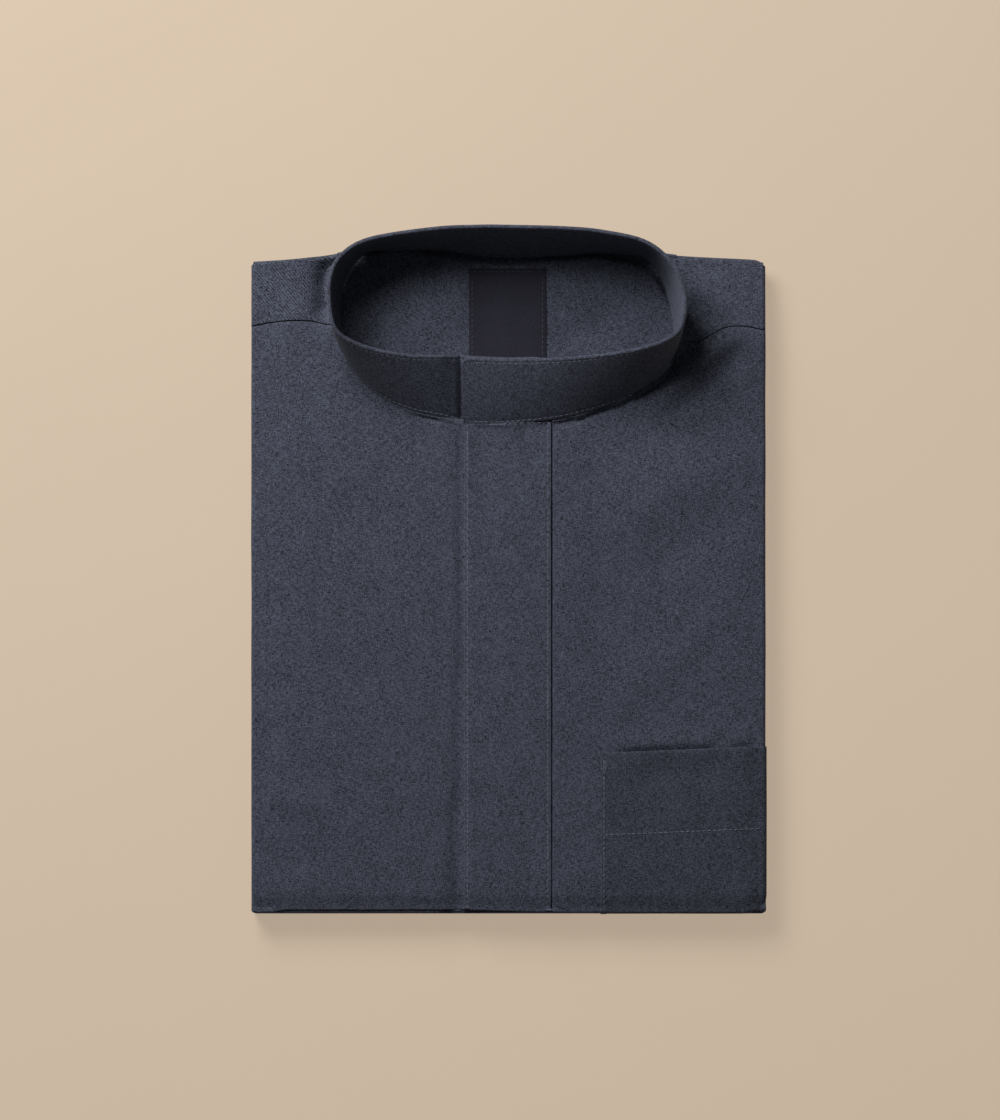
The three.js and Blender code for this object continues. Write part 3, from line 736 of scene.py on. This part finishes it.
def band_frames(count):
    """Seam points, rim points and outward directions along the band, evenly spaced."""
    rows = np.array(BAND, float)
    lean = np.hypot(rows[:, 3] - rows[:, 0], rows[:, 4] - rows[:, 1])
    rim_z = rows[:, 2] + np.sqrt(BAND_TALL ** 2 - lean ** 2)
    seam, rim = rows[:, :3], np.column_stack([rows[:, 3:5], rim_z])
    dense = np.linspace(0, 1, 2000)
    length = walked_along(spline(seam, dense))
    even = np.linspace(0, length[-1], count)
    t = np.interp(even, length, dense)
    seam_at, rim_at = spline(seam, t), spline(rim, t)
    tangent = np.gradient(seam_at + rim_at, axis=0)
    outwards = np.cross(rim_at - seam_at, tangent)
    outwards /= np.linalg.norm(outwards, axis=1, keepdims=True)
    beside = np.exp(-((seam_at[:, 0] - UNDER_DIP["x"]) / UNDER_DIP["half"]) ** 2)
    inset = spline(rows[:, 5], t) + UNDER_DIP["depth"] * beside * (t < 0.25)
    return seam_at, rim_at, outwards, inset, even


def band_point(frames, up, out):
    """A point on the band: up from seam to rim, out from its outer face."""
    seam, rim, outwards, inset, along = frames
    wobble = 0.22 * np.array([noise.noise(Vector((a / 26, u * 1.5, 5.0)))
                              for a, u in zip(along, np.broadcast_to(up, along.shape))])
    bow = 0.8 * np.sin(np.clip(up, 0, 1) * math.pi) + wobble * np.clip(up, 0, 1)
    base = seam + (rim - seam) * np.reshape(up, (-1, 1))
    return base + outwards * np.reshape(out + bow - inset, (-1, 1))


def band():
    """The band as one closed strip: outer face, rounded rim, inner face, rounded foot."""
    frames = band_frames(440)
    along = frames[4]
    half = BAND_CLOTH / 2
    short = 0.0
    for from_end in (along[-1] - along, along):
        corner = np.clip(1 - from_end / BAND_CORNER, 0, 1)
        short = short + BAND_CORNER * (1 - np.sqrt(1 - corner ** 2)) / BAND_TALL
    face = np.concatenate([[0.02, SEAM_STITCH], np.linspace(0.08, 0.9, 17),
                           [0.925, RIM_STITCH, 0.955, 0.97]])

    def pinch(up):
        """The layers are drawn together along the stitching near the rim and the seam."""
        near_rim = math.exp(-((up - RIM_STITCH) / 0.012) ** 2)
        near_seam = math.exp(-((up - SEAM_STITCH) / 0.012) ** 2)
        return 0.22 * (near_rim + near_seam)

    loop = [(up, -pinch(up)) for up in face]
    loop += [(0.975 + 0.025 * math.sin(angle), -half + half * math.cos(angle))
             for angle in np.radians(np.arange(0, 181, 30))]
    loop += [(up, -BAND_CLOTH + pinch(up)) for up in face[::-1]]
    loop += [(0.012 + 0.012 * math.sin(angle), -half + half * math.cos(angle))
             for angle in np.radians(np.arange(180, 361, 45))]
    points = np.stack([
        band_point(frames, np.full(len(along), up) * (1 - short), np.full(len(along), out))
        for up, out in loop
    ], axis=1)
    reach = np.cumsum([0] + [math.hypot((b[0] - a[0]) * BAND_TALL, b[1] - a[1])
                             for a, b in zip(loop, loop[1:])])
    uv = np.stack(np.broadcast_arrays(along[:, None], reach[None, :]), -1)
    rows, columns = points.shape[:2]
    quads = np.stack(grid_corners(rows, columns, True), -1).reshape(-1, 4).tolist()
    vertices = points.reshape(-1, 3).tolist()
    coords = uv.reshape(-1, 2).tolist()
    for row, beside in ((0, 1), (rows - 1, rows - 2)):
        middle = points[row].mean(0)
        tip = len(vertices)
        vertices.append((middle + (middle - points[beside].mean(0)) * END_BULGE).tolist())
        coords.append(uv[row].mean(0).tolist())
        for k in range(columns):
            p, q = row * columns + k, row * columns + (k + 1) % columns
            quads.append([q, p, tip] if row == 0 else [p, q, tip])
    return make_object("collar_band_cloth", vertices, quads, coords), frames


band_cloth, band_frame = band()


# ---- label
LABEL_STANDS = 0.9  # the label over the yoke, at its edges
LABEL_HEM = 1.2
LABEL_CLOTH = 0.4


def label_rise(x, y):
    """How far the label stands off the yoke, a little more in its middle."""
    pillow = 0.25 * ease((y - LABEL_LOW[1]) / 6) * ease((LABEL_HIGH[1] - y - LABEL_HEM) / 5)
    nearest = np.minimum(x - LABEL_LOW[0], LABEL_HIGH[0] - x)
    return LABEL_STANDS + pillow * ease((nearest - LABEL_HEM) / 5)


def label():
    """A bare woven patch, its edges turned, on the back yoke."""
    left, right = LABEL_LOW[0], LABEL_HIGH[0]
    xs = np.concatenate([[left + 2, left, left + 0.25], spaced(left + 0.7, right - 0.7, 1.0),
                         [right - 0.25, right, right - 2]])
    fall = np.concatenate([[0.55, 0.42, 0.12], np.zeros(len(xs) - 6), [0.12, 0.42, 0.55]])
    rows = []
    for y in spaced(LABEL_LOW[1], LABEL_HIGH[1], 1.0):
        ys = np.full(len(xs), y)
        edge = 0.45 * math.exp(-((LABEL_HIGH[1] - y) / 0.5) ** 2)
        rows.append((ys, back_height(xs, ys) + label_rise(xs, ys) - edge, 0.0, 1.0, y))
    points, uv = sweep((xs, fall, xs), rows, False)
    points[..., 2] += yoke_waves(points[..., 0], points[..., 1])
    return shell("label_cloth", points, uv, LABEL_CLOTH)


label_cloth = label()


# ---- folded skirt under the chest
SKIRT_LEVELS = (10.85, 6.05, 1.95)  # middles of the three layers, at the chest's full height
SKIRT_HALF = 1.95  # half a layer's height
LIP_TOP = 14.2  # top of the skirt's fold at the foot
LIP_HALF = 0.9  # and half its layer's height there
FOLD_GROOVE = 7.1  # height of the gap between its two folds


def skirt():
    """The skirt's three layers, one flattened tube folded at the head and at the foot."""
    squeeze_head = 3.3 / (PILE - 1.0)
    head_y, foot_y, hem = HEAD - 6.6, FOOT + 1.5, HEAD - 4.6
    lip_top, lip_low = LIP_TOP - LIP_HALF, LIP_HALF

    def scale(y):
        return 1 - squeeze_head * ease((y - HEAD_FALL["start"]) / (HEAD - HEAD_FALL["start"]))

    def layer_at(y, level, lip):
        """Middle and half height of a layer that ends at the foot in the given lip."""
        k, swell = scale(y), ease((foot_y + 22 - y) / 20)
        return level * k + swell * (lip - level), SKIRT_HALF * k + swell * (LIP_HALF - SKIRT_HALF)

    path = []          # y, z, ny, nz, half height, length of cloth, layer (0 to 2)
    for y in spaced(foot_edge(0) + 24, head_y, 4.0):
        k = scale(y)
        path.append((y, SKIRT_LEVELS[0] * k, 0.0, 1.0, SKIRT_HALF * k, y, 0.0))
    length = head_y
    k = scale(head_y)
    radius = (SKIRT_LEVELS[0] - SKIRT_LEVELS[1]) / 2 * k
    middle = (SKIRT_LEVELS[0] + SKIRT_LEVELS[1]) / 2 * k
    for angle in np.linspace(0, math.pi, 13)[1:-1]:
        out, up = math.sin(angle), math.cos(angle)
        path.append((head_y + radius * out, middle + radius * up, out, up, SKIRT_HALF * k,
                     length + radius * angle, angle / math.pi))
    length += math.pi * radius
    for y in spaced(head_y, foot_y, 4.0):
        level, half = layer_at(y, SKIRT_LEVELS[1], lip_top)
        path.append((y, level, 0.0, -1.0, half, length + head_y - y, 1.0))
    length += head_y - foot_y
    radius, middle = (lip_top - lip_low) / 2, (lip_top + lip_low) / 2
    reach = foot_y - FOOT - LIP_HALF
    for angle in np.linspace(0, math.pi, 41)[1:-1]:
        out = math.sin(angle) ** 0.6
        z = middle + radius * math.cos(angle)
        groove = 1.9 * math.exp(-((z - FOLD_GROOVE) / 0.8) ** 2)
        path.append((foot_y - reach * out + groove, z, out, -math.cos(angle), LIP_HALF,
                     length + radius * angle, 1 + angle / math.pi))
    length += math.pi * radius
    for y in spaced(foot_y, hem, 4.0):
        level, half = layer_at(y, SKIRT_LEVELS[2], lip_low)
        pinch = 1 - 0.35 * ease((y - hem + 5) / 5)
        path.append((y, level, 0.0, 1.0, half * pinch, length + y - foot_y, 2.0))

    bend = HALF - 0.9 - SKIRT_HALF
    face = spaced(-bend, bend, 6.0)
    side = np.radians(np.linspace(0, 180, 13))[1:-1]
    x = np.concatenate([face, bend + SKIRT_HALF * np.sin(side)])
    x = np.concatenate([x, face[::-1], -bend - SKIRT_HALF * np.sin(side)])
    rise = np.append(np.ones(len(face)), np.cos(side))
    rise = np.append(rise, -rise)
    girth = np.append(0, np.cumsum(np.hypot(np.diff(x), np.diff(rise) * SKIRT_HALF)))
    points = np.empty((len(path), len(x), 3))
    uv = np.empty((len(path), len(x), 2))
    for i, (y, z, ny, nz, half, walked, layer) in enumerate(path):
        uneven = [0.7 * noise.noise(Vector((walked / 46, seed, 9.0))) for seed in (0.3, 7.3)]
        out = np.where(x > 0, *uneven) - 0.7 * abs(layer - 1.6)
        points[i, :, 0] = x + np.sign(x) * out * ease((np.abs(x) - 90) / 30)
        points[i, :, 1] = y + ny * half * rise
        high = np.maximum(z + nz * half * rise, 0.0)
        at_y = np.full(len(x), y)
        in_neck = (np.abs(x) < 84) & (y > np.where(x < 15, right_top(x), left_top(x)) - 8)
        roof = np.min([chest(x + dx, at_y + dy) for dx in (-3, 0, 3) for dy in (-2, 0, 2)], axis=0)
        roof = roof - 1.6 + 0.5 * ease((-150 - y) / 8)
        roof = np.where(in_neck, np.minimum(roof, back_height(x, at_y) - 1.4), roof)
        points[i, :, 2] = np.minimum(high, roof)
        uv[i, :, 0] = girth
        uv[i, :, 1] = walked
    return shell("folded_skirt_cloth", points, uv, 0.6, around=True)


folded_skirt = skirt()


# ---- stitches
THREAD = 0.24  # half thickness of a stitch
PITCH = 2.7
STITCH = 2.1
SUNK = 0.2  # the band's stitches sink into its cloth


def stitches(name, lines):
    """Joined rows of short stitches; each line is points along it and the cloth's normals."""
    vertices, faces = [], []
    rings, sides = 5, 6
    for points, normals in lines:
        length = walked_along(points)
        for k in range(int(length[-1] / PITCH)):
            slack = 0.12 * noise.noise(Vector((k * 1.7, length[-1], 2.0)))
            start = (k + 0.15 + slack) * PITCH
            base = len(vertices)
            for i in range(rings):
                t = i / (rings - 1)
                spot = start + t * STITCH
                at = np.array([np.interp(spot, length, points[:, c]) for c in range(3)])
                ahead = np.array([np.interp(spot + 0.4, length, points[:, c]) for c in range(3)])
                normal = np.array([np.interp(spot, length, normals[:, c]) for c in range(3)])
                normal /= np.linalg.norm(normal)
                side = np.cross(normal, ahead - at)
                side /= max(np.linalg.norm(side), 1e-9)
                middle = at + normal * (THREAD * (1.1 * math.sin(math.pi * t) - 0.6))
                radius = THREAD * (0.55 + 0.45 * math.sin(math.pi * t))
                for j in range(sides):
                    angle = 2 * math.pi * j / sides
                    vertices.append(middle + radius * (math.cos(angle) * side * 1.2
                                                       + math.sin(angle) * normal))
            for i in range(rings - 1):
                for j in range(sides):
                    a, b = base + i * sides + j, base + i * sides + (j + 1) % sides
                    faces.append((a, b, b + sides, a + sides))
            faces.append(tuple(base + j for j in reversed(range(sides))))
            faces.append(tuple(base + (rings - 1) * sides + j for j in range(sides)))
    return make_object(name, vertices, faces)


def on_face(x, y, height):
    """A line of points over a height field, with upright normals."""
    x, y = np.broadcast_arrays(np.asarray(x, float), np.asarray(y, float))
    z = height(x, y) + chest_noise(x, y)
    up = np.zeros((len(x), 3))
    up[:, 2] = 1
    return np.stack([x, y, z], -1), up


def line_up(x, low, high, count, face):
    """A straight line up a panel."""
    return on_face(np.full(count, x), np.linspace(low, high, count), face)


HEM_DEPTH = 41.0  # the pocket's mouth is hemmed to here
foot_start = foot_edge(0.0) + FOOT_RADIUS
pocket_start, pocket_end = POCKET_LEFT + 1.5, mouth(POCKET_LEFT)
placket_rows = [line_up(x, foot_start, right_top(x) - 2, 200, placket_face)
                for x in (STITCH_LEFT, STITCH_RIGHT)]
placket_stitches = stitches("placket_stitches", placket_rows)

xs = np.linspace(pocket_start, HALF - SIDE_RADIUS - LIFT, 90)
pocket_lines = [line_up(pocket_start, foot_start, pocket_end - 2, 90, pocket_face),
                on_face(xs, mouth(xs) - HEM_DEPTH, pocket_face)]
pocket_lines += [line_up(x, pocket_end - 9, pocket_end - 1.6, 12, pocket_face)
                 for x in (pocket_start, POCKET_LEFT + 2.3)]
pocket_stitches = stitches("pocket_stitches", pocket_lines)


def band_line(up, inner):
    """A line along the band at one height, on its outer or its inner face."""
    outwards, along = band_frame[2], band_frame[4]
    depth = -BAND_CLOTH + SUNK if inner else -SUNK
    points = band_point(band_frame, np.full(len(along), up), np.full(len(along), depth))
    keep = slice(8, -4)      # clear of its rounded ends
    return points[keep], outwards[keep] * (-1 if inner else 1)


band_rows = [band_line(RIM_STITCH, False), band_line(RIM_STITCH, True),
             band_line(SEAM_STITCH, False)]
band_stitches = stitches("band_stitches", band_rows)


def label_face(x, y):
    return back_height(x, y) + label_rise(x, y) + yoke_waves(x, y) - chest_noise(x, y)


low, high = LABEL_LOW[:2] + 1.6, LABEL_HIGH[:2] - 1.6
across = np.linspace(low[0], high[0], 60)
label_rows = [line_up(x, low[1], high[1], 60, label_face) for x in (low[0], high[0])]
label_rows += [on_face(across, np.full(60, y), label_face) for y in (low[1], high[1])]
label_stitches = stitches("label_stitches", label_rows)


# ---- materials
CLOTH_COLOUR = (0.048, 0.053, 0.074)
LABEL_COLOUR = (0.0165, 0.016, 0.0245)
THREAD_COLOUR = (0.098, 0.103, 0.130)
LABEL_THREAD_COLOUR = (0.036, 0.034, 0.048)
FLOOR_COLOUR = (0.617, 0.497, 0.376)
FLOOR_GLOW = 0.70  # a light table under the cloth softens its shadow
# painted shade: the pocket's suiting is darkened to stand for its face tilting away from the light
POCKET_PAINTED_SHADE = 0.80
MOTTLE = 0.28  # uneven dyeing over a few centimetres
HEATHER = 0.85  # single dark and light yarns, beside the slubs


def put(node, values):
    for socket, value in values.items():
        node.inputs[socket].default_value = value


def new_material(name, roughness, specular):
    mat = bpy.data.materials.new(name)
    mat.use_nodes = True
    shader = mat.node_tree.nodes["Principled BSDF"]
    put(shader, {"Roughness": roughness, "Specular IOR Level": specular})
    return mat, shader, mat.node_tree.nodes, mat.node_tree.links


def shaded(shader, nodes, links, colour, shade):
    """Base colour: one colour, scaled by a shade of about 1."""
    tint = nodes.new("ShaderNodeVectorMath")
    tint.operation = "SCALE"
    put(tint, {0: colour})
    links.new(shade, tint.inputs["Scale"])
    links.new(tint.outputs["Vector"], shader.inputs["Base Color"])


def suiting(name, colour, period=1.1, slub=1.15, relief=0.2, sheen=0.1, cross=0.06, rib=0.0):
    """A plain weave: yarn crossings, uneven yarns in both directions and mottled dyeing."""
    mat, shader, nodes, links = new_material(name, 0.92, 0.25)
    put(shader, {"IOR": 1.4, "Sheen Weight": sheen, "Sheen Roughness": 0.45,
                 "Sheen Tint": (0.75, 0.8, 1.0, 1.0)})

    def calc(operation, a, b=None):
        node = nodes.new("ShaderNodeMath")
        node.operation = operation
        for socket, value in zip(node.inputs, (a, b)):
            if isinstance(value, bpy.types.NodeSocket):
                links.new(value, socket)
            elif value is not None:
                socket.default_value = value
        return node.outputs[0]

    def yarn(scale_u, scale_v):
        """Noise stretched along one yarn direction, centred on zero."""
        mapping = nodes.new("ShaderNodeMapping")
        put(mapping, {"Scale": (scale_u, scale_v, 1.0)})
        links.new(uv.outputs["UV"], mapping.inputs["Vector"])
        tex = nodes.new("ShaderNodeTexNoise")
        tex.noise_dimensions = "2D"
        put(tex, {"Scale": 1.0, "Detail": 1.0})
        links.new(mapping.outputs["Vector"], tex.inputs["Vector"])
        return calc("SUBTRACT", tex.outputs["Fac"], 0.5)

    uv = nodes.new("ShaderNodeUVMap")
    uv.uv_map = "weave"
    split = nodes.new("ShaderNodeSeparateXYZ")
    links.new(uv.outputs["UV"], split.inputs["Vector"])
    turn = 2 * math.pi / (period * MM)
    warp = calc("SINE", calc("MULTIPLY", split.outputs["X"], turn))
    weft = calc("SINE", calc("MULTIPLY", split.outputs["Y"], turn))
    crossing = calc("MULTIPLY", warp, weft)

    fine, long = 1 / (0.32 * MM), 1 / (2.6 * MM)
    warp_slub, weft_slub = yarn(fine, long), yarn(long, fine * 0.9)
    melange = yarn(1 / (0.36 * MM), 1 / (0.33 * MM))
    patch = yarn(1 / (11 * MM), 1 / (14 * MM))
    uneven = calc("ADD", warp_slub, calc("MULTIPLY", weft_slub, 1.25))
    uneven = calc("ADD", uneven, melange)
    cell = nodes.new("ShaderNodeVectorMath")
    cell.operation = "SNAP"
    put(cell, {1: (period * MM / 2, period * MM / 2, 1.0)})
    links.new(uv.outputs["UV"], cell.inputs[0])
    speck = nodes.new("ShaderNodeTexWhiteNoise")
    speck.noise_dimensions = "2D"
    links.new(cell.outputs["Vector"], speck.inputs["Vector"])
    heather = calc("SUBTRACT", speck.outputs["Value"], 0.5)
    shade = calc("MULTIPLY", uneven, slub)
    for part, share in ((patch, MOTTLE), (crossing, cross), (weft, rib),
                        (heather, slub * HEATHER)):
        shade = calc("ADD", shade, calc("MULTIPLY", part, share))
    shade = calc("ADD", shade, 1.0)
    shaded(shader, nodes, links, colour, shade)

    height = calc("ADD", calc("MULTIPLY", crossing, 0.35), uneven)
    bump = nodes.new("ShaderNodeBump")
    put(bump, {"Strength": 0.8, "Distance": relief * MM})
    links.new(height, bump.inputs["Height"])
    links.new(bump.outputs["Normal"], shader.inputs["Normal"])
    return mat


def plain(name, colour, roughness, variation, size):
    """A matt finish with slight uneven shade, from the piece's own coordinates."""
    mat, shader, nodes, links = new_material(name, roughness, 0.2)
    place = nodes.new("ShaderNodeTexCoord")
    tex = nodes.new("ShaderNodeTexNoise")
    put(tex, {"Scale": 1 / (size * MM)})
    links.new(place.outputs["Object"], tex.inputs["Vector"])
    ramp = nodes.new("ShaderNodeMapRange")
    put(ramp, {"From Min": 0.25, "From Max": 0.75,
               "To Min": 1 - variation, "To Max": 1 + variation})
    links.new(tex.outputs["Fac"], ramp.inputs["Value"])
    shaded(shader, nodes, links, colour, ramp.outputs["Result"])
    return mat


cloth_material = suiting("suiting", CLOTH_COLOUR)
bias_material = suiting("suiting_bias", CLOTH_COLOUR, 1.3, relief=0.3, cross=0.1, rib=0.3)
# the pocket gets a darker copy of the suiting: painted shade, not a different cloth
pocket_painted_shade_material = suiting("suiting_pocket_painted_shade", tuple(POCKET_PAINTED_SHADE * c for c in CLOTH_COLOUR))
label_material = suiting("label_weave", LABEL_COLOUR, 0.7, slub=0.35, relief=0.08, sheen=0.03)
thread_material = plain("thread", THREAD_COLOUR, 0.7, 0.35, 1.5)
label_thread = plain("label_thread", LABEL_THREAD_COLOUR, 0.7, 0.25, 1.5)
FLOOR_PAINT = tuple((1 - FLOOR_GLOW) * c for c in FLOOR_COLOUR)
floor_material = plain("floor", FLOOR_PAINT, 0.85, 0.012, 60)
put(floor_material.node_tree.nodes["Principled BSDF"],
    {"Emission Color": (*FLOOR_COLOUR, 1.0), "Emission Strength": FLOOR_GLOW})


# ---- what each piece is
CLOTHS = [
    # piece, replaces, slot, material, rests on
    (front_right, ["front_right"], "cloth", cloth_material, ["folded_skirt_cloth"]),
    (front_left, ["front_left"], "cloth", cloth_material, ["folded_skirt_cloth"]),
    (placket_cloth, ["placket"], "cloth", cloth_material, ["front_right_cloth"]),
    (pocket_cloth, ["pocket"], "cloth", pocket_painted_shade_material, ["front_left_cloth"]),
    (shoulder_right, ["yoke"], "cloth", bias_material, ["folded_skirt_cloth"]),
    (shoulder_left, ["yoke"], "cloth", cloth_material, ["folded_skirt_cloth"]),
    (back_yoke_cloth, ["yoke"], "cloth", cloth_material, ["folded_skirt_cloth"]),
    (band_cloth, ["collar_band"], "cloth", cloth_material, ["back_yoke_cloth"]),
    (label_cloth, ["label"], "label_cloth", label_material, ["back_yoke_cloth"]),
    (folded_skirt, ["folded_layers"], "cloth", cloth_material, ["floor"]),
]
STITCHING = [
    (placket_stitches, placket_cloth, thread_material),
    (pocket_stitches, pocket_cloth, thread_material),
    (band_stitches, band_cloth, thread_material),
    (label_stitches, label_cloth, label_thread),
]


floor_mesh = bpy.data.meshes.new("floor")
FLOOR_REACH = 3.0  # m
floor_corners = [(x * FLOOR_REACH, y * FLOOR_REACH, 0)
                 for x, y in ((-1, -1), (1, -1), (1, 1), (-1, 1))]
floor_mesh.from_pydata(floor_corners, [], [(0, 1, 2, 3)])
floor = placed("floor", floor_mesh)
floor.location.z = -0.0002  # just under the cloth
floor.data.materials.append(floor_material)
floor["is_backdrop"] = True

for piece, nodes, slot, material, _ in CLOTHS:
    piece.data.materials.append(material)
    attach(piece, "root")
    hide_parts(*nodes)
for piece, _, material in STITCHING:
    piece.data.materials.append(material)
    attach(piece, "root")


# ---- camera and light
VIEW_CENTRE = (-4.5, 5.1)  # mm
VIEW_HEIGHT = 560.0  # mm of the cloth's plane along the picture's long side
CAMERA_RISE = 5000.0
SENSOR = 36.0

camera_data = bpy.data.cameras.new("camera")
camera_data.type = "PERSP"
camera_data.sensor_width = SENSOR
camera_data.lens = SENSOR * CAMERA_RISE / VIEW_HEIGHT
camera_data.clip_end = 50.0
camera = placed("camera", camera_data)
camera.location = (VIEW_CENTRE[0] * MM, VIEW_CENTRE[1] * MM, (CAMERA_RISE + PILE) * MM)
bpy.context.scene.camera = camera

light_data = bpy.data.lights.new("window", "AREA")
light_data.size = 0.78  # m
light_data.energy = 32.0  # W
light = placed("window", light_data)
towards = Vector((-0.38, 0.64, 0.66)).normalized()
light.location = towards * 1.5
light.rotation_mode = "QUATERNION"
light.rotation_quaternion = towards.to_track_quat("Z", "Y")

world = bpy.data.worlds.new("studio")
world.use_nodes = True
put(world.node_tree.nodes["Background"], {"Color": (1.0, 1.0, 1.0, 1.0), "Strength": 0.12})
bpy.context.scene.world = world
bpy.context.scene.view_settings.view_transform = "Standard"

low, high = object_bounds()
